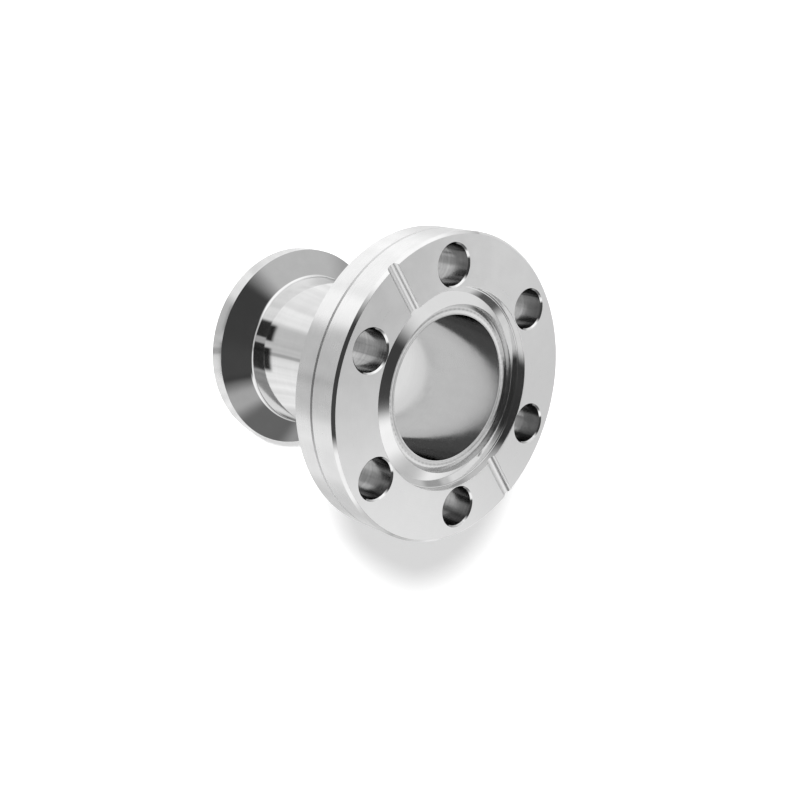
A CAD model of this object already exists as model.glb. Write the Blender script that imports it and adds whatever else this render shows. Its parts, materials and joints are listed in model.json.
import json
import math

import bpy
from bpy.props import (
    FloatProperty,
    FloatVectorProperty,
    IntProperty,
    PointerProperty,
)
from mathutils import Matrix, Vector


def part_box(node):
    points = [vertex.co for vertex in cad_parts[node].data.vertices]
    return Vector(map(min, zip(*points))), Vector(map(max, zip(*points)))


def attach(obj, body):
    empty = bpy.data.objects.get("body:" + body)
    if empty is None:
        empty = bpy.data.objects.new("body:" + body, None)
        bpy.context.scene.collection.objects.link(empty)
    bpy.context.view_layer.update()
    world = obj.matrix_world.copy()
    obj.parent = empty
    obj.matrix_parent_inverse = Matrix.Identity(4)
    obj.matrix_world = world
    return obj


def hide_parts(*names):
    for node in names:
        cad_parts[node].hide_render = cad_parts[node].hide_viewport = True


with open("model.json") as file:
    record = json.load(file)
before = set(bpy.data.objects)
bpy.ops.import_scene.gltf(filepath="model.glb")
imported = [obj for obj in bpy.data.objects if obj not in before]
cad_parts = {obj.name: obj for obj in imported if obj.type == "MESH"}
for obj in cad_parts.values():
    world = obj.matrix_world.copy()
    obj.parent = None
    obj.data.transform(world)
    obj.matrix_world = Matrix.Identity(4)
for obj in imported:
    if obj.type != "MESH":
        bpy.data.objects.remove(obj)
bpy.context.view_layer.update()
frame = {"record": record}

bl_info = {
    "name": "Vacuum flange adapter",
    "version": (1, 0, 0),
    "blender": (4, 5, 0),
    "location": "3D View > Sidebar > Vacuum flange",
    "description": "Knife-edge flange and small clamp flange on one short tube",
    "category": "Add Mesh",
}

MM = 0.001

# Segments of turned work round the axis, and of each of its corner arcs.
SEGMENTS = 384
ARC_STEPS = 6

# Sides of the round cutters and of the floor.
CUTTER_SIDES = 96
FLOOR_SIDES = 96

# Corner radii of the turned edges, in millimetres.
BACK_ROUND = 0.05
LINE_ROUND = 0.03
CHAMFER_ROUND = 0.04
RECESS_ROUND = 0.08
KNIFE_ROUND = 0.02
CLAMP_RIM_ROUND = 0.06
COUNTERBORE_ROUND = 0.05

# Directions in the studio: towards the lens, and the two across it.
FRONT = (0.5857, 0.3979, 0.7061)
SIDE = (0.7089, -0.6738, -0.2084)
ACROSS = (-0.3929, -0.6226, 0.6767)

MOUNTS = {mount["name"]: mount for mount in frame["record"]["mounts"]}
FLANGE_LOW, FLANGE_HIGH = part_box("cf_flange")
_, NIPPLE_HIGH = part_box("clamp_nipple")
WELD_LOW, WELD_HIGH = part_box("weld_bead")


# ---------------------------------------------------------------- node trees

WHITE = (1.0, 1.0, 1.0, 1.0)


class Wire:
    """An output socket that takes part in ordinary sums."""

    def __init__(self, graph, socket):
        self.graph = graph
        self.socket = socket

    def __add__(self, other):
        return self.graph.maths("ADD", self, other)

    def __radd__(self, other):
        return self.graph.maths("ADD", other, self)

    def __sub__(self, other):
        return self.graph.maths("SUBTRACT", self, other)

    def __rsub__(self, other):
        return self.graph.maths("SUBTRACT", other, self)

    def __mul__(self, other):
        return self.graph.maths("MULTIPLY", self, other)

    def __truediv__(self, other):
        return self.graph.maths("DIVIDE", self, other)

    def __rtruediv__(self, other):
        return self.graph.maths("DIVIDE", other, self)

    def __pow__(self, other):
        return self.graph.maths("POWER", self, other)


class Graph:
    """Adds nodes to one tree."""

    def __init__(self, tree):
        self.tree = tree
        tree.nodes.clear()

    def add(self, kind, settings=None, sockets=None, out=0):
        """One node: its settings first, then its sockets' values or links.
        Gives the wire of one output, or the node itself where out is None."""
        node = self.tree.nodes.new(kind)
        for name, value in (settings or {}).items():
            setattr(node, name, value)
        for name, value in (sockets or {}).items():
            if isinstance(value, Wire):
                self.tree.links.new(value.socket, node.inputs[name])
            else:
                node.inputs[name].default_value = value
        if out is None or not node.outputs:
            return node
        return Wire(self, node.outputs[out])

    def maths(self, operation, *values):
        """One sum of numbers and wires."""
        return self.add(
            "ShaderNodeMath", {"operation": operation}, dict(enumerate(values))
        )

    def parts(self, vector):
        """The three components of a vector."""
        split = self.add("ShaderNodeSeparateXYZ", None, {0: vector}, None)
        return [Wire(self, socket) for socket in split.outputs]

    def mix(self, factor, first, second):
        """Blend of two colours."""
        return self.add(
            "ShaderNodeMix",
            {"data_type": "RGBA"},
            {0: factor, 6: first, 7: second},
            2,
        )

    def step(self, value, low, high):
        """Soft step of a value, from nought at low to one at high."""
        return self.add(
            "ShaderNodeMapRange",
            {"interpolation_type": "SMOOTHSTEP"},
            {0: value, 1: low, 2: high},
        )

    def band(self, value, low, rise, fall, high):
        """Soft band of a value: up from low to rise, down from fall to high."""
        return self.step(value, low, rise) * (1.0 - self.step(value, fall, high))

    def noise(self, place, scale, detail, roughness, line=False):
        """Noise over a place, or along a line where only one number varies."""
        if line:
            settings, key = {"noise_dimensions": "1D"}, "W"
        else:
            settings, key = {"noise_dimensions": "3D"}, "Vector"
        return self.add(
            "ShaderNodeTexNoise",
            settings,
            {key: place, "Scale": scale, "Detail": detail, "Roughness": roughness},
        )


# ---------------------------------------------------------------- materials


def cylinder_place(g):
    """Object place as (point, radius from the axis, angle, height), metres."""
    point = g.add("ShaderNodeTexCoord", out=3)
    x, y, z = g.parts(point)
    radius = (x * x + y * y) ** 0.5
    return point, radius, g.maths("ARCTAN2", y, x), z


def steel(
    name,
    colour,
    roughness,
    marks,
    pitch,
    depth,
    anisotropy=0.0,
    smear=0.04,
    tone=0.05,
    shade=1.0,
):
    """Stainless steel with tool marks that follow how the surface was cut.

    marks is "facing" for rings on a flat face, "turning" for rings along the
    axis, or "drilling" for a helix; pitch and depth are in metres. smear is how
    much the roughness varies, tone how much the colour does, and shade darkens
    the whole.
    """
    material = bpy.data.materials.new(name)
    material.use_nodes = True
    g = Graph(material.node_tree)
    point, radius, angle, height = cylinder_place(g)
    along = radius if marks == "facing" else height
    if marks == "drilling":
        along = along + angle * (pitch * 0.5)

    # rings from fine marks and broader ones, and worn patches across them
    fine = g.noise(along, 1.0 / pitch, detail=3.0, roughness=0.65, line=True)
    broad = g.noise(along, 0.12 / pitch, detail=1.0, roughness=0.5, line=True)
    drift = g.noise(point, 420.0, detail=3.0, roughness=0.6)
    rings = fine * 0.7 + broad * 0.3
    worn = g.step(drift, 0.35, 0.7)
    bump = g.add(
        "ShaderNodeBump",
        None,
        {"Strength": 1.0, "Distance": depth, "Height": rings},
    )

    # the marks and the wear change the colour and the roughness a little
    light = [c * shade * (1.0 + tone) for c in colour] + [1.0]
    dark = [c * shade * (1.0 - tone) for c in colour] + [1.0]
    base = g.mix(fine * 0.6 + worn * 0.4, dark, light)
    rough = (rings - 0.5) * smear + worn * smear + (roughness - smear * 0.5)
    shader = g.add(
        "ShaderNodeBsdfPrincipled",
        None,
        {
            "Base Color": base,
            "Metallic": 1.0,
            "Roughness": rough,
            "Normal": bump,
            "Anisotropic": anisotropy,
            "Anisotropic Rotation": 0.25,
        },
    )
    g.add("ShaderNodeOutputMaterial", None, {"Surface": shader})
    return material


FINISHES = {}


def finish(name):
    """The named finish, made the first time it is asked for."""
    look = bpy.context.scene.steel_finish
    recipes = {
        "faced_steel": dict(
            roughness=look.face_roughness,
            marks="facing",
            pitch=0.10 * MM,
            depth=0.0009 * MM,
            anisotropy=0.55,
        ),
        "rim_steel": dict(
            roughness=look.rim_roughness,
            marks="turning",
            pitch=0.16 * MM,
            depth=0.0028 * MM,
            anisotropy=0.45,
            tone=0.08,
        ),
        "bright_steel": dict(
            roughness=look.bright_roughness,
            marks="turning",
            pitch=0.20 * MM,
            depth=0.0002 * MM,
            smear=0.015,
        ),
        "flank_steel": dict(
            roughness=look.bright_roughness,
            marks="facing",
            pitch=0.08 * MM,
            depth=0.0002 * MM,
            smear=0.015,
        ),
        "scored_steel": dict(
            roughness=0.5,
            marks="turning",
            pitch=0.10 * MM,
            depth=0.0005 * MM,
        ),
        "bored_steel": dict(
            roughness=look.bore_roughness,
            marks="turning",
            pitch=0.25 * MM,
            depth=0.0006 * MM,
            anisotropy=0.3,
        ),
        "drilled_steel": dict(
            roughness=look.drilled_roughness,
            marks="drilling",
            pitch=0.35 * MM,
            depth=0.006 * MM,
            tone=0.32,
            shade=0.50,
        ),
        "milled_steel": dict(
            roughness=look.face_roughness,
            marks="facing",
            pitch=0.30 * MM,
            depth=0.002 * MM,
        ),
        "weld_steel": dict(
            roughness=0.24,
            marks="facing",
            pitch=0.05 * MM,
            depth=0.0015 * MM,
            smear=0.12,
            tone=0.16,
            shade=0.86,
        ),
    }
    if name not in FINISHES:
        FINISHES[name] = steel(name, list(look.colour), **recipes[name])
    return FINISHES[name]


# ---------------------------------------------------------------- turned work


class Section:
    """A half section of turned work: corners, their radii and the finishes
    of the edges between them, in millimetres."""

    def __init__(self):
        self.corners = []

    def to(self, radius, height, finish_name, corner=0.0):
        """A corner; finish_name is that of the edge that leaves it."""
        self.corners.append((Vector((radius, height)), finish_name, corner))
        return self

    def points(self):
        """Corners with their arcs, as (point, finish of the edge after it)."""
        found = []
        count = len(self.corners)
        for i, (here, name, corner) in enumerate(self.corners):
            before, before_name, _ = self.corners[i - 1]
            after = self.corners[(i + 1) % count][0]
            if corner <= 0:
                found.append((here, name))
                continue
            back = (before - here).normalized()
            ahead = (after - here).normalized()
            turn = back.angle(ahead)
            reach = corner / math.tan(turn / 2)
            inwards = (back + ahead).normalized()
            centre = here + inwards * (corner / math.sin(turn / 2))
            first = here + back * reach - centre
            last = here + ahead * reach - centre
            sweep = first.angle_signed(last)
            for k in range(ARC_STEPS + 1):
                share = k / ARC_STEPS
                a = -sweep * share
                spoke = Vector(
                    (
                        first.x * math.cos(a) - first.y * math.sin(a),
                        first.x * math.sin(a) + first.y * math.cos(a),
                    )
                )
                found.append(
                    (centre + spoke, before_name if share < 0.5 else name)
                )
        return found


def turned(name, section):
    """A closed mesh of the section turned about the axis. It starts half a
    segment round, so that no seam lies on an axis where a cutter's does."""
    points = section.points()
    area = sum(
        a.x * b.y - b.x * a.y
        for (a, _), (b, _) in zip(points, points[1:] + points[:1])
    )
    if area < 0:
        raise RuntimeError(name + ": the section runs the wrong way round")
    names = []
    for _, finish_name in points:
        if finish_name not in names:
            names.append(finish_name)
    count = len(points)
    verts, faces, slots = [], [], []
    for t in range(SEGMENTS):
        a = 2 * math.pi * (t + 0.5) / SEGMENTS
        for p, _ in points:
            verts.append((p.x * math.cos(a) * MM, p.x * math.sin(a) * MM, p.y * MM))
    for t in range(SEGMENTS):
        u = (t + 1) % SEGMENTS
        for i in range(count):
            j = (i + 1) % count
            faces.append(
                (t * count + i, u * count + i, u * count + j, t * count + j)
            )
            slots.append(names.index(points[i][1]))
    mesh = bpy.data.meshes.new(name)
    mesh.from_pydata(verts, [], faces)
    for finish_name in names:
        mesh.materials.append(finish(finish_name))
    mesh.polygons.foreach_set("material_index", slots)
    mesh.update()
    piece = bpy.data.objects.new(name, mesh)
    bpy.context.scene.collection.objects.link(piece)
    return piece


# A face counts as turned while the square of its normal's part along the
# circle is no more than this, and as a small edge round below this length.
TURNED_LEAN = 0.002
ROUND_LENGTH = 0.09 * MM


def settle(piece, sharp_degrees=32.0):
    """Smooth shading apart from sharp edges. Turned faces other than edge
    rounds keep their own true slope, so the rounds don't bend it."""
    mesh = piece.data
    mesh.shade_smooth()
    mesh.set_sharp_from_angle(angle=math.radians(sharp_degrees))
    normals = [loop.vector.copy() for loop in mesh.corner_normals]
    for face in mesh.polygons:
        middle = Vector((face.center.x, face.center.y, 0.0)).normalized()
        out, up = face.normal.dot(middle), face.normal.z
        if abs(out * out + up * up - 1.0) > TURNED_LEAN:
            continue
        ring = [mesh.vertices[i].co for i in face.vertices]
        marks = [(math.hypot(co.x, co.y), co.z) for co in ring]
        wide = max(m[0] for m in marks) - min(m[0] for m in marks)
        tall = max(m[1] for m in marks) - min(m[1] for m in marks)
        if math.hypot(wide, tall) < ROUND_LENGTH:
            continue
        for loop, co in zip(face.loop_indices, ring):
            spoke = Vector((co.x, co.y, 0.0)).normalized() * out
            normals[loop] = Vector((spoke.x, spoke.y, up)).normalized()
    mesh.normals_split_custom_set(normals)


def made_plain(piece):
    """Applies every modifier through the evaluated object."""
    bpy.context.view_layer.update()
    graph = bpy.context.evaluated_depsgraph_get()
    plain = bpy.data.meshes.new_from_object(piece.evaluated_get(graph))
    plain.name = piece.name
    old = piece.data
    piece.modifiers.clear()
    piece.data = plain
    bpy.data.meshes.remove(old)


def set_input(piece, modifier, name, value):
    """Sets a Geometry Nodes modifier's input by its socket's identifier."""
    for item in modifier.node_group.interface.items_tree:
        if item.item_type == "SOCKET" and item.in_out == "INPUT" and item.name == name:
            modifier[item.identifier] = value
            return
    raise RuntimeError(piece.name + ": no input is named " + name)


# ---------------------------------------------------------------- cutters

# The drill starts as a cylinder of this length in three segments, and its
# cone goes on past each face of the flange by this much.
DRILL_BLANK = 4.0 * MM
DRILL_PAST = 0.3 * MM

CUTTER_INPUTS = (
    ("Hole count", "NodeSocketInt", 6),
    ("Bolt circle radius", "NodeSocketFloat", 0.0135),
    ("Hole radius", "NodeSocketFloat", 0.0022),
    ("Countersink", "NodeSocketFloat", 0.00018),
    ("Back height", "NodeSocketFloat", 0.0223),
    ("Face height", "NodeSocketFloat", 0.0284),
    ("Groove count", "NodeSocketInt", 2),
    ("Groove tool radius", "NodeSocketFloat", 0.00075),
    ("Groove depth", "NodeSocketFloat", 0.0005),
    ("Groove start", "NodeSocketFloat", 0.0107),
    ("Groove end", "NodeSocketFloat", 0.0172),
    ("Drilled finish", "NodeSocketMaterial", None),
    ("Milled finish", "NodeSocketMaterial", None),
)


def cutter_tree():
    """Geometry Nodes: drills the bolt circle and mills the leak-check
    grooves out of the blank that comes in."""
    tree = bpy.data.node_groups.new("drill_and_mill", "GeometryNodeTree")
    face = tree.interface
    face.new_socket("Geometry", in_out="INPUT", socket_type="NodeSocketGeometry")
    for name, kind, default in CUTTER_INPUTS:
        socket = face.new_socket(name, in_out="INPUT", socket_type=kind)
        if default is not None:
            socket.default_value = default
    face.new_socket("Geometry", in_out="OUTPUT", socket_type="NodeSocketGeometry")
    g = Graph(tree)
    entry = g.add("NodeGroupInput", out=None)
    given = {s.name: Wire(g, s) for s in entry.outputs if s.name}
    drill, tip = given["Hole radius"], given["Countersink"]
    low, high = given["Back height"], given["Face height"]

    def lifted(mesh, height):
        lift = g.add("ShaderNodeCombineXYZ", None, {"Z": height})
        return g.add(
            "GeometryNodeTransform", None, {"Geometry": mesh, "Translation": lift}
        )

    def finished(mesh, material):
        return g.add(
            "GeometryNodeSetMaterial", None, {"Geometry": mesh, "Material": material}
        )

    def flared_drill():
        """One closed cutter: a drill whose two ends open into countersinks."""
        half = (high - low) * 0.5
        rings = g.add(
            "GeometryNodeMeshCylinder",
            {"fill_type": "NGON"},
            {
                "Vertices": CUTTER_SIDES,
                "Side Segments": 3,
                "Radius": drill,
                "Depth": DRILL_BLANK,
            },
        )
        x, y, z = g.parts(g.add("GeometryNodeInputPosition"))
        is_end = g.maths("GREATER_THAN", g.maths("ABSOLUTE", z), DRILL_BLANK / 4)
        flare = is_end * (tip + DRILL_PAST)
        side = g.maths("SIGN", z)
        grown = flare / drill + 1.0
        place = g.add(
            "ShaderNodeCombineXYZ",
            None,
            {"X": x * grown, "Y": y * grown, "Z": side * (half - tip + flare)},
        )
        return g.add(
            "GeometryNodeSetPosition", None, {"Geometry": rings, "Position": place}
        )

    def round_the_axis(mesh, count, radius, first_angle):
        """Copies of a mesh on a circle, each turned to face outwards."""
        seats = g.add(
            "GeometryNodeMeshLine", None, {"Count": count, "Offset": (0, 0, 0)}
        )
        number = g.add("GeometryNodeInputIndex")
        angle = number * (2 * math.pi) / count + first_angle
        turn = g.add("ShaderNodeCombineXYZ", None, {"Z": angle})
        east = g.maths("COSINE", angle) * radius
        north = g.maths("SINE", angle) * radius
        place = g.add("ShaderNodeCombineXYZ", None, {"X": east, "Y": north})
        seats = g.add(
            "GeometryNodeSetPosition", None, {"Geometry": seats, "Position": place}
        )
        copies = g.add(
            "GeometryNodeInstanceOnPoints",
            None,
            {"Points": seats, "Instance": mesh, "Rotation": turn},
        )
        return g.add("GeometryNodeRealizeInstances", None, {"Geometry": copies})

    drilled = lifted(flared_drill(), (high + low) * 0.5)
    first = math.pi / given["Hole count"]
    milled = g.add(
        "GeometryNodeMeshCylinder",
        {"fill_type": "NGON"},
        {
            "Vertices": CUTTER_SIDES,
            "Radius": given["Groove tool radius"],
            "Depth": given["Groove end"] - given["Groove start"],
        },
    )
    lying = g.add(
        "GeometryNodeTransform",
        None,
        {"Geometry": milled, "Rotation": (0.0, math.pi / 2, 0.0)},
    )
    lying = lifted(lying, high - given["Groove depth"] + given["Groove tool radius"])
    middle = (given["Groove start"] + given["Groove end"]) * 0.5
    cutters = [
        finished(
            round_the_axis(
                drilled, given["Hole count"], given["Bolt circle radius"], first
            ),
            given["Drilled finish"],
        ),
        finished(
            round_the_axis(lying, given["Groove count"], middle, 0.0),
            given["Milled finish"],
        ),
    ]
    body = given["Geometry"]
    for cutter in cutters:
        body = g.add(
            "GeometryNodeMeshBoolean",
            {"operation": "DIFFERENCE", "solver": "EXACT"},
            {"Mesh 1": body, "Mesh 2": cutter},
        )
    g.add("NodeGroupOutput", None, {0: body})
    return tree


# ---------------------------------------------------------------- settings


def millimetres(name, description, value):
    """A length given in millimetres, kept in metres."""
    return FloatProperty(
        name=name,
        description=description,
        default=value * MM,
        min=0.0,
        precision=5,
        subtype="DISTANCE",
        unit="LENGTH",
    )


def number(name, description, value, low=0.0, high=1.0):
    return FloatProperty(
        name=name, description=description, default=value, min=low, max=high
    )


class KnifeFlangeSizes(bpy.types.PropertyGroup):
    face_height: millimetres(
        "Face height", "Sealing face above the clamp flange's face", FLANGE_HIGH.z / MM
    )
    thickness: millimetres(
        "Thickness", "Thickness of the flange", (FLANGE_HIGH.z - FLANGE_LOW.z) / MM
    )
    rim_radius: millimetres("Rim radius", "Outer radius", FLANGE_HIGH.x / MM)
    face_chamfer: millimetres("Face chamfer", "Chamfer on the rim at the face", 0.30)
    back_break: millimetres("Back edge", "Edge break on the rim at the tube", 0.15)
    line_from_face: millimetres("Rim line", "Turned line's distance from the face", 3.4)
    line_width: millimetres("Line width", "Width of the turned line", 0.34)
    line_depth: millimetres("Line depth", "Depth of the turned line", 0.17)
    recess_radius: millimetres(
        "Recess radius",
        "Wall of the gasket recess",
        MOUNTS["gasket_seat"]["dims"]["r_mm"],
    )
    tip_radius: millimetres("Knife radius", "Radius of the knife edge", 9.2)
    tip_depth: millimetres("Knife depth", "Knife edge below the face", 0.38)
    flank_slope: FloatProperty(
        name="Flank slope",
        description="Slope of the knife's outer flank from the face plane",
        default=math.radians(20.0),
        subtype="ANGLE",
    )
    foot_radius: millimetres("Foot radius", "Tool radius at the recess wall", 0.10)
    land_depth: millimetres("Land depth", "Flat ring inside the knife edge", 1.15)
    seat_radius: millimetres("Seat radius", "Bore that the tube sits in", 9.02)
    hole_count: IntProperty(
        name="Bolt holes", description="Number of bolt holes", default=6, min=2
    )
    bolt_circle_radius: millimetres("Bolt circle", "Radius of the bolt circle", 13.5)
    hole_radius: millimetres("Hole radius", "Radius of a bolt hole", 2.2)
    countersink: millimetres("Countersink", "Edge break of the bolt holes", 0.18)
    groove_count: IntProperty(
        name="Grooves", description="Number of leak-check grooves", default=2, min=1
    )
    groove_tool_radius: millimetres("Groove tool", "Radius of the groove's floor", 0.75)
    groove_depth: millimetres("Groove depth", "Depth of a leak-check groove", 0.5)


class NippleSizes(bpy.types.PropertyGroup):
    tube_radius: millimetres("Tube radius", "Outer radius of the tube", 9.0)
    bore_radius: millimetres("Bore radius", "Inner radius of the tube", 8.0)
    tube_top: millimetres("Tube top", "Upper end of the tube", NIPPLE_HIGH.z / MM)
    clamp_radius: millimetres(
        "Clamp radius", "Rim of the clamp flange", NIPPLE_HIGH.x / MM
    )
    rim_width: millimetres("Rim width", "Straight rim of the clamp flange", 1.85)
    taper: FloatProperty(
        name="Taper",
        description="Slope of the clamp flange's back from its face plane",
        default=math.radians(30.0),
        subtype="ANGLE",
    )
    root_radius: millimetres(
        "Root radius", "Fillet where the taper meets the tube", 0.5
    )
    edge_break: millimetres("Edge break", "Edge of the clamp flange's face", 0.12)
    centring_radius: millimetres("Centring radius", "Counterbore for the ring", 8.6)
    centring_depth: millimetres("Centring depth", "Depth of the counterbore", 2.6)


class WeldSizes(bpy.types.PropertyGroup):
    outer_radius: millimetres(
        "Outer radius", "Outer edge of the bead", WELD_HIGH.x / MM
    )
    inner_radius: millimetres("Inner radius", "Inner edge of the bead", 8.0)
    foot_height: millimetres("Foot height", "What the bead lies on", WELD_LOW.z / MM)
    rise: millimetres("Rise", "Height of the bead", (WELD_HIGH.z - WELD_LOW.z) / MM)
    lip: millimetres("Lip", "Height left at the bore", 0.12)
    ripple_count: IntProperty(
        name="Ripples", description="Ripples round the bead", default=84, min=8
    )
    ripple_height: millimetres("Ripple height", "Height of a ripple", 0.006)


class SteelFinish(bpy.types.PropertyGroup):
    colour: FloatVectorProperty(
        name="Steel colour",
        description="Colour of the bare stainless steel",
        default=(0.70, 0.70, 0.70),
        subtype="COLOR",
        size=3,
        min=0.0,
        max=1.0,
    )
    face_roughness: number("Face", "Roughness of the faced ring", 0.30)
    rim_roughness: number("Rim", "Roughness of the rims", 0.26)
    bright_roughness: number("Bright", "Roughness of polished surfaces", 0.065)
    bore_roughness: number("Bore", "Roughness of the bore", 0.12)
    drilled_roughness: number("Drilled", "Roughness of the bolt holes", 0.20)


class StudioSettings(bpy.types.PropertyGroup):
    camera_place: FloatVectorProperty(
        name="Camera",
        description="Place of the camera",
        default=(0.0685616, 0.0498932, 0.1052863),
        subtype="TRANSLATION",
        size=3,
    )
    aim: FloatVectorProperty(
        name="Aim",
        description="Point in the middle of the picture",
        default=(-0.0021811, 0.0018389, 0.02),
        subtype="TRANSLATION",
        size=3,
    )
    roll: FloatProperty(
        name="Roll",
        description="Turn of the camera about its line of sight",
        default=math.radians(107.1129),
        subtype="ANGLE",
    )
    lens: FloatProperty(
        name="Lens",
        description="Focal length in millimetres on a 36 mm sensor",
        default=48.2134,
        min=10.0,
    )
    floor_colour: FloatVectorProperty(
        name="Floor",
        description="Colour of the floor",
        default=(0.80, 0.80, 0.80),
        subtype="COLOR",
        size=3,
        min=0.0,
        max=1.0,
    )
    floor_radius: FloatProperty(
        name="Floor radius",
        description="Radius of the round floor",
        default=3.0,
        subtype="DISTANCE",
        unit="LENGTH",
    )
    key_power: number("Key lamp", "Power of the key lamp in watts", 17.5, high=100.0)
    key_place: FloatVectorProperty(
        name="Key lamp's place",
        description="Place of the key lamp",
        default=(0.7700, 0.1900, 0.6250),
        subtype="TRANSLATION",
        size=3,
    )
    key_size: FloatProperty(
        name="Key lamp's size",
        description="Diameter of the key lamp",
        default=0.20,
        subtype="DISTANCE",
        unit="LENGTH",
    )


# ---------------------------------------------------------------- operators


def ride_as(piece, node):
    """The piece rides on the one body, for a CAD node, in a material slot."""
    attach(piece, "root")
    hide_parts(node)


# The grooves' tool starts this share of the way from the recess wall to the
# knife edge.
GROOVE_ENTRY = 0.2

# A drilled face that leans between these two is a countersink, not the wall.
COUNTERSINK_LEAN = (0.4, 0.9)

# A flange with fewer faces than this has lost its holes or its body.
FEWEST_FACES = 1000


class MakeKnifeFlange(bpy.types.Operator):
    """Turns the knife-edge flange, drills its bolt circle and mills its grooves"""

    bl_idname = "vacuum_flange.make_knife_flange"
    bl_label = "Knife-edge flange"

    def execute(self, context):
        s = context.scene.knife_flange_sizes
        high, low = s.face_height / MM, (s.face_height - s.thickness) / MM
        rim, line = s.rim_radius / MM, high - s.line_from_face / MM
        half, deep = s.line_width / MM / 2, s.line_depth / MM
        recess, tip = s.recess_radius / MM, s.tip_radius / MM
        z_tip, land = high - s.tip_depth / MM, high - s.land_depth / MM
        foot = z_tip - (recess - tip) * math.tan(s.flank_slope)
        seat, chamfer = s.seat_radius / MM, s.face_chamfer / MM
        back = s.back_break / MM
        section = Section()
        section.to(seat, low, "faced_steel")
        section.to(rim - back, low, "rim_steel", BACK_ROUND)
        section.to(rim, low + back, "rim_steel", BACK_ROUND)
        section.to(rim, line - half, "scored_steel", LINE_ROUND)
        section.to(rim - deep, line, "scored_steel", LINE_ROUND)
        section.to(rim, line + half, "rim_steel", LINE_ROUND)
        section.to(rim, high - chamfer, "flank_steel", CHAMFER_ROUND)
        section.to(rim - chamfer, high, "faced_steel", CHAMFER_ROUND)
        section.to(recess, high, "bright_steel", RECESS_ROUND)
        section.to(recess, foot, "flank_steel", s.foot_radius / MM)
        section.to(tip, z_tip, "bright_steel", KNIFE_ROUND)
        section.to(tip, land, "flank_steel")
        section.to(seat, land, "bright_steel")
        flange = turned("knife_edge_flange", section)
        tool = flange.modifiers.new("drill and mill", "NODES")
        tool.node_group = cutter_tree()
        groove_start = s.recess_radius - GROOVE_ENTRY * (s.recess_radius - s.tip_radius)
        for name, value in (
            ("Hole count", s.hole_count),
            ("Bolt circle radius", s.bolt_circle_radius),
            ("Hole radius", s.hole_radius),
            ("Countersink", s.countersink),
            ("Back height", s.face_height - s.thickness),
            ("Face height", s.face_height),
            ("Groove count", s.groove_count),
            ("Groove tool radius", s.groove_tool_radius),
            ("Groove depth", s.groove_depth),
            ("Groove start", groove_start),
            ("Groove end", s.rim_radius + s.face_chamfer),
            ("Drilled finish", finish("drilled_steel")),
            ("Milled finish", finish("milled_steel")),
        ):
            set_input(flange, tool, name, value)
        made_plain(flange)
        if len(flange.data.polygons) < FEWEST_FACES:
            raise RuntimeError("the flange came out empty from its cutters")
        slots = [material.name for material in flange.data.materials]
        least, most = COUNTERSINK_LEAN
        for face in flange.data.polygons:
            in_hole = slots[face.material_index] == "drilled_steel"
            if in_hole and least < abs(face.normal.z) < most:
                face.material_index = slots.index("bright_steel")
        settle(flange)
        ride_as(flange, "cf_flange")
        return {"FINISHED"}


class MakeClampNipple(bpy.types.Operator):
    """Turns the tube and the clamp flange with its tapered back"""

    bl_idname = "vacuum_flange.make_clamp_nipple"
    bl_label = "Tube and clamp flange"

    def execute(self, context):
        s = context.scene.nipple_sizes
        tube, bore, top = s.tube_radius / MM, s.bore_radius / MM, s.tube_top / MM
        clamp, width = s.clamp_radius / MM, s.rim_width / MM
        ring, depth = s.centring_radius / MM, s.centring_depth / MM
        edge = s.edge_break / MM
        taper_top = width + (clamp - tube) * math.tan(s.taper)
        section = Section()
        section.to(ring, 0, "faced_steel", COUNTERBORE_ROUND)
        section.to(clamp, 0, "rim_steel", edge)
        section.to(clamp, width, "flank_steel", CLAMP_RIM_ROUND)
        section.to(tube, taper_top, "bright_steel", s.root_radius / MM)
        section.to(tube, top, "flank_steel")
        section.to(bore, top, "bored_steel")
        section.to(bore, depth, "flank_steel", COUNTERBORE_ROUND)
        section.to(ring, depth, "bored_steel", COUNTERBORE_ROUND)
        nipple = turned("clamp_nipple_turned", section)
        settle(nipple)
        ride_as(nipple, "clamp_nipple")
        return {"FINISHED"}


# The bead's mesh, the share of a half wave that its hump takes, how far the
# ripples trail at its two edges, in radians, and its own sharp edges.
SEGMENTS_PER_RIPPLE = 12
STEPS_ACROSS_BEAD = 14
HUMP_SHARE = 0.93
RIPPLE_TRAIL = 1.98
BEAD_SHARP_DEGREES = 50.0


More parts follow.
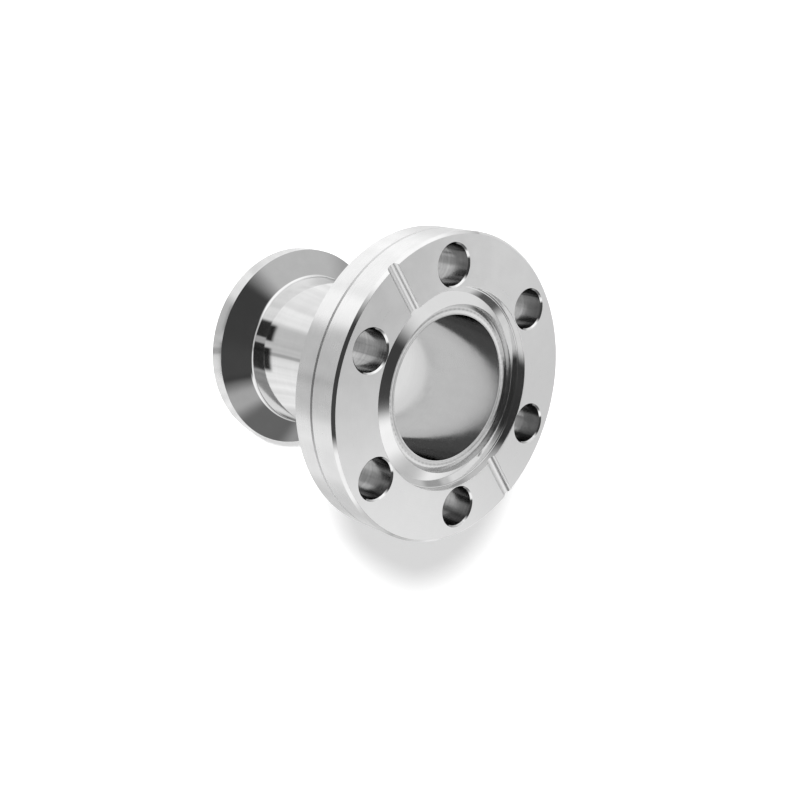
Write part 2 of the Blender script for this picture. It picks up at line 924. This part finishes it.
class MakeWeldBead(bpy.types.Operator):
    """Lays the rippled weld bead round the tube's end"""

    bl_idname = "vacuum_flange.make_weld_bead"
    bl_label = "Weld bead"

    def execute(self, context):
        s = context.scene.weld_sizes
        outer, inner = s.outer_radius, s.inner_radius
        foot, rise, lip = s.foot_height, s.rise, s.lip
        around = s.ripple_count * SEGMENTS_PER_RIPPLE
        across = STEPS_ACROSS_BEAD
        verts, faces = [], []
        for t in range(around):
            a = 2 * math.pi * t / around
            for k in range(across + 1):
                share = k / across
                radius = outer + (inner - outer) * share
                level = rise * math.sin(math.pi * (share * HUMP_SHARE))
                level = max(level, lip * share)
                trail = RIPPLE_TRAIL * (2 * share - 1) ** 2
                wave = math.sin(s.ripple_count * a + trail)
                crest = math.sin(math.pi * share)
                level = min(rise, level + s.ripple_height * crest * (wave - 1) * 0.5)
                verts.append(
                    (radius * math.cos(a), radius * math.sin(a), foot + max(level, 0))
                )
            verts.append((inner * math.cos(a), inner * math.sin(a), foot))
        row = across + 2
        for t in range(around):
            u = (t + 1) % around
            for k in range(row):
                j = (k + 1) % row
                faces.append((t * row + k, u * row + k, u * row + j, t * row + j))
        mesh = bpy.data.meshes.new("weld_bead_laid")
        mesh.from_pydata(verts, [], faces)
        mesh.materials.append(finish("weld_steel"))
        mesh.update()
        bead = bpy.data.objects.new("weld_bead_laid", mesh)
        context.scene.collection.objects.link(bead)
        settle(bead, BEAD_SHARP_DEGREES)
        ride_as(bead, "weld_bead")
        return {"FINISHED"}


def area_lamp(name, place, aim, size, power):
    """A soft round lamp that looks at the aim. Neither the camera nor polished
    metal sees the lamp itself."""
    data = bpy.data.lights.new(name, "AREA")
    data.shape = "DISK"
    data.size = size
    data.energy = power
    lamp = bpy.data.objects.new(name, data)
    lamp.location = place
    lamp.rotation_euler = (aim - place).to_track_quat("-Z", "Y").to_euler()
    lamp.visible_camera = False
    lamp.visible_glossy = False
    bpy.context.scene.collection.objects.link(lamp)
    return lamp


def ray_kinds(g):
    """Whether the ray comes from the camera, off metal or through glass, and
    how many times it has been reflected."""
    path = g.add("ShaderNodeLightPath", out=None)
    names = ("Is Camera Ray", "Is Glossy Ray", "Is Transmission Ray", "Glossy Depth")
    return [Wire(g, path.outputs[name]) for name in names]


# How much the floor's grain lightens and darkens its colour.
FLOOR_GRAIN = 0.015

# Sectors of the floor as polished metal sees it: the angles in degrees between
# which each one rises and falls, and what it adds near the object and, besides,
# far from it.
FLOOR_SECTORS = (
    ((-75, -50, 14, 24), 0.12, 0.22),
    ((14, 24, 50, 60), -0.25, 0.0),
    ((50, 60, 70, 80), 0.0, -0.32),
    ((52, 62, 108, 122), 0.12, 0.0),
    ((112, 126, 165, 178), -0.15, 0.0),
)


def floor_in_metal(g, radius, angle, bounces):
    """Brightness of the floor as polished metal sees it."""

    def sector(*degrees):
        return g.band(angle, *(math.radians(one) for one in degrees))

    # broad sectors of light and shade, with one narrow dark streak and with
    # softer streaks all round
    far = g.step(radius, 0.022, 0.028)
    pale = 0.95
    for degrees, near_gain, far_gain in FLOOR_SECTORS:
        pale = pale + sector(*degrees) * (near_gain + far * far_gain)
    pale = pale * (1.0 - sector(49, 51.5, 53, 55) * 0.35)
    streaks = g.noise(angle, 5.0, detail=2.0, roughness=0.5, line=True)
    pale = pale * (0.76 + streaks * 0.48)

    # the floor inside the bore, a little greyer away from the axis
    inside = 1.0 - g.step(radius, 0.0092, 0.0100)
    well = 1.02 - g.step(radius, 0.0045, 0.0075) * 0.10
    pale = pale * (1.0 - inside) + well * inside

    # two dark patches close round the clamp flange
    foot = g.band(radius, 0.0132, 0.0136, 0.0142, 0.0149)
    feet = sector(20, 25, 38, 41) + sector(45, 48, 67, 74)
    pale = pale * (1.0 - foot * feet * 0.97)

    # second reflections: two dark sectors near the object, and a milder one
    # that goes on outwards
    second = g.step(bounces, 1.4, 1.6) * g.step(radius, 0.022, 0.025)
    near = second * (1.0 - g.step(radius, 0.070, 0.090))
    pair = sector(15, 20, 36, 39) + sector(43, 46, 74, 80)
    pale = pale * (1.0 - near * pair * 0.94)
    pale = pale * (1.0 - second * sector(72, 82, 130, 160) * 0.6)

    # third and later reflections, deep between the faces
    return pale * (1.0 - g.step(bounces, 2.4, 2.6) * 0.84)


def floor_material(colour):
    """Pale floor: it keeps the object's shadow and fades to plain white far
    off. Polished metal and glass see its light and dark sectors instead."""
    material = bpy.data.materials.new("pale_floor")
    material.use_nodes = True
    g = Graph(material.node_tree)
    camera, glossy, through, bounces = ray_kinds(g)
    point, radius, angle, _ = cylinder_place(g)
    grain = g.noise(point, 900.0, detail=3.0, roughness=0.6)
    dark = [c * (1.0 - FLOOR_GRAIN) for c in colour] + [1.0]
    light = [min(1.0, c * (1.0 + FLOOR_GRAIN)) for c in colour] + [1.0]
    cloth = g.add("ShaderNodeBsdfDiffuse", None, {"Color": g.mix(grain, dark, light)})

    # lifted towards white for the camera, wholly so far off, where it ends
    bright = camera * (0.40 + g.step(radius, 0.12, 0.50) * 0.60)
    lift = g.add("ShaderNodeEmission", None, {"Color": WHITE, "Strength": bright})
    lit = g.add("ShaderNodeAddShader", None, {0: cloth, 1: lift})
    pale = floor_in_metal(g, radius, angle, bounces)
    seen = g.add("ShaderNodeEmission", None, {"Color": WHITE, "Strength": pale})
    both = g.add("ShaderNodeMixShader", None, {0: glossy + through, 1: lit, 2: seen})
    g.add("ShaderNodeOutputMaterial", None, {"Surface": both})
    return material


def room_in_metal(g, ray):
    """Brightness of the room as polished metal sees it, by direction."""

    def towards(direction):
        """Cosine of the angle between the ray and a direction."""
        unit = Vector(direction).normalized()
        return g.add(
            "ShaderNodeVectorMath",
            {"operation": "DOT_PRODUCT"},
            {0: ray, 1: unit},
            1,
        )

    def spot(direction, edge_degrees, core_degrees):
        """Soft round spot about a direction."""
        edge = math.cos(math.radians(edge_degrees))
        core = math.cos(math.radians(core_degrees))
        return g.step(towards(direction), edge, core)

    front, side, across = towards(FRONT), towards(SIDE), towards(ACROSS)

    # the dark room behind the lens, between its lit upper and lower walls
    upper = g.step(side + g.step(across, 0.50, 0.85) * 0.36, 0.28, 0.62)
    lower = g.step(g.step(across, 0.30, 0.65) * 0.18 - side, 0.65, 0.80)
    slot = g.step(front, 0.42, 0.62) * (1.0 - upper) * (1.0 - lower)

    # smaller dim places: a far corner, a patch overhead, low and high walls
    corner = spot((-0.81, 0.37, 0.46), 26, 12)
    patch = spot((-0.419, -0.395, 0.811), 17, 6)
    under = g.step(side, -0.60, -0.74) * g.band(across, 0.10, 0.24, 0.50, 0.60)
    dusk = g.band(side, 0.30, 0.44, 0.62, 0.72) * g.step(across, 0.44, 0.56)

    # a bright window high at the side
    top = g.step(side, 0.48, 0.64) * g.step(front, -0.20, 0.05)
    top = top * (1.0 - g.step(across, 0.55, 0.66))

    room = 0.55 + g.step(front, -0.60, -0.12) * 0.47
    room = room + g.step(side, -0.15, -0.48) * 0.25 + top * 0.35
    dimmed = ((slot, 0.94), (corner, 0.65), (patch, 0.5), (under, 0.60), (dusk, 0.36))
    for zone, loss in dimmed:
        room = room * (1.0 - zone * loss)
    return room


# Brightness of the room as rough surfaces see it.
ROOM_FILL = 0.35


def studio_world():
    """White room; polished metal also sees its dark side behind the lens."""
    world = bpy.data.worlds.new("studio")
    bpy.context.scene.world = world
    world.use_nodes = True
    g = Graph(world.node_tree)
    camera, glossy, through, _ = ray_kinds(g)
    room = room_in_metal(g, g.add("ShaderNodeTexCoord", out=0))
    seen = glossy * room + (1.0 - glossy) * ROOM_FILL
    open_sight = camera + through
    seen = open_sight + (1.0 - open_sight) * seen
    back = g.add("ShaderNodeBackground", None, {"Color": WHITE, "Strength": seen})
    g.add("ShaderNodeOutputWorld", None, {"Surface": back})


# The floor lies just below the object's foot, so that the two don't touch.
FLOOR_GAP = 0.02 * MM


class MakeStage(bpy.types.Operator):
    """Lays the floor, hangs the lamp and sets the camera"""

    bl_idname = "vacuum_flange.make_stage"
    bl_label = "Stage"

    def execute(self, context):
        s = context.scene.studio_settings
        mesh = bpy.data.meshes.new("floor")
        verts = []
        for i in range(FLOOR_SIDES):
            a = 2 * math.pi * i / FLOOR_SIDES
            east, north = s.floor_radius * math.cos(a), s.floor_radius * math.sin(a)
            verts.append((east, north, -FLOOR_GAP))
        mesh.from_pydata(verts, [], [tuple(range(FLOOR_SIDES))])
        mesh.materials.append(floor_material(list(s.floor_colour)))
        floor = bpy.data.objects.new("floor", mesh)
        context.scene.collection.objects.link(floor)
        studio_world()
        aim = Vector(s.aim)
        area_lamp("key_lamp", Vector(s.key_place), aim, s.key_size, s.key_power)
        data = bpy.data.cameras.new("camera")
        data.lens = s.lens
        data.sensor_width = 36.0
        data.clip_start = 0.005
        data.clip_end = 20.0
        camera = bpy.data.objects.new("camera", data)
        look = aim - Vector(s.camera_place)
        turn = look.to_track_quat("-Z", "Y").to_matrix()
        turn = turn @ Matrix.Rotation(s.roll, 3, "Z")
        camera.matrix_world = Matrix.Translation(s.camera_place) @ turn.to_4x4()
        context.scene.collection.objects.link(camera)
        context.scene.camera = camera
        context.scene.view_settings.view_transform = "Standard"
        return {"FINISHED"}


# ---------------------------------------------------------------- panel

OPERATORS = (MakeKnifeFlange, MakeClampNipple, MakeWeldBead, MakeStage)
SETTINGS = (
    ("knife_flange_sizes", KnifeFlangeSizes),
    ("nipple_sizes", NippleSizes),
    ("weld_sizes", WeldSizes),
    ("steel_finish", SteelFinish),
    ("studio_settings", StudioSettings),
)


class VacuumFlangePanel(bpy.types.Panel):
    """Sizes, finishes and the operators that make the pieces"""

    bl_idname = "VIEW3D_PT_vacuum_flange"
    bl_label = "Vacuum flange"
    bl_space_type = "VIEW_3D"
    bl_region_type = "UI"
    bl_category = "Vacuum flange"

    def draw(self, context):
        for operator in OPERATORS:
            self.layout.operator(operator.bl_idname)
        for name, group in SETTINGS:
            box = self.layout.box()
            box.label(text=name.replace("_", " ").capitalize())
            for key in group.__annotations__:
                box.prop(getattr(context.scene, name), key)


def register():
    for name, group in SETTINGS:
        bpy.utils.register_class(group)
        setattr(bpy.types.Scene, name, PointerProperty(type=group))
    for operator in OPERATORS:
        bpy.utils.register_class(operator)
    bpy.utils.register_class(VacuumFlangePanel)


def unregister():
    bpy.utils.unregister_class(VacuumFlangePanel)
    for operator in reversed(OPERATORS):
        bpy.utils.unregister_class(operator)
    for name, group in reversed(SETTINGS):
        delattr(bpy.types.Scene, name)
        bpy.utils.unregister_class(group)


def main():
    register()
    bpy.ops.vacuum_flange.make_knife_flange()
    bpy.ops.vacuum_flange.make_clamp_nipple()
    bpy.ops.vacuum_flange.make_weld_bead()
    bpy.ops.vacuum_flange.make_stage()


if __name__ == "__main__":
    main()
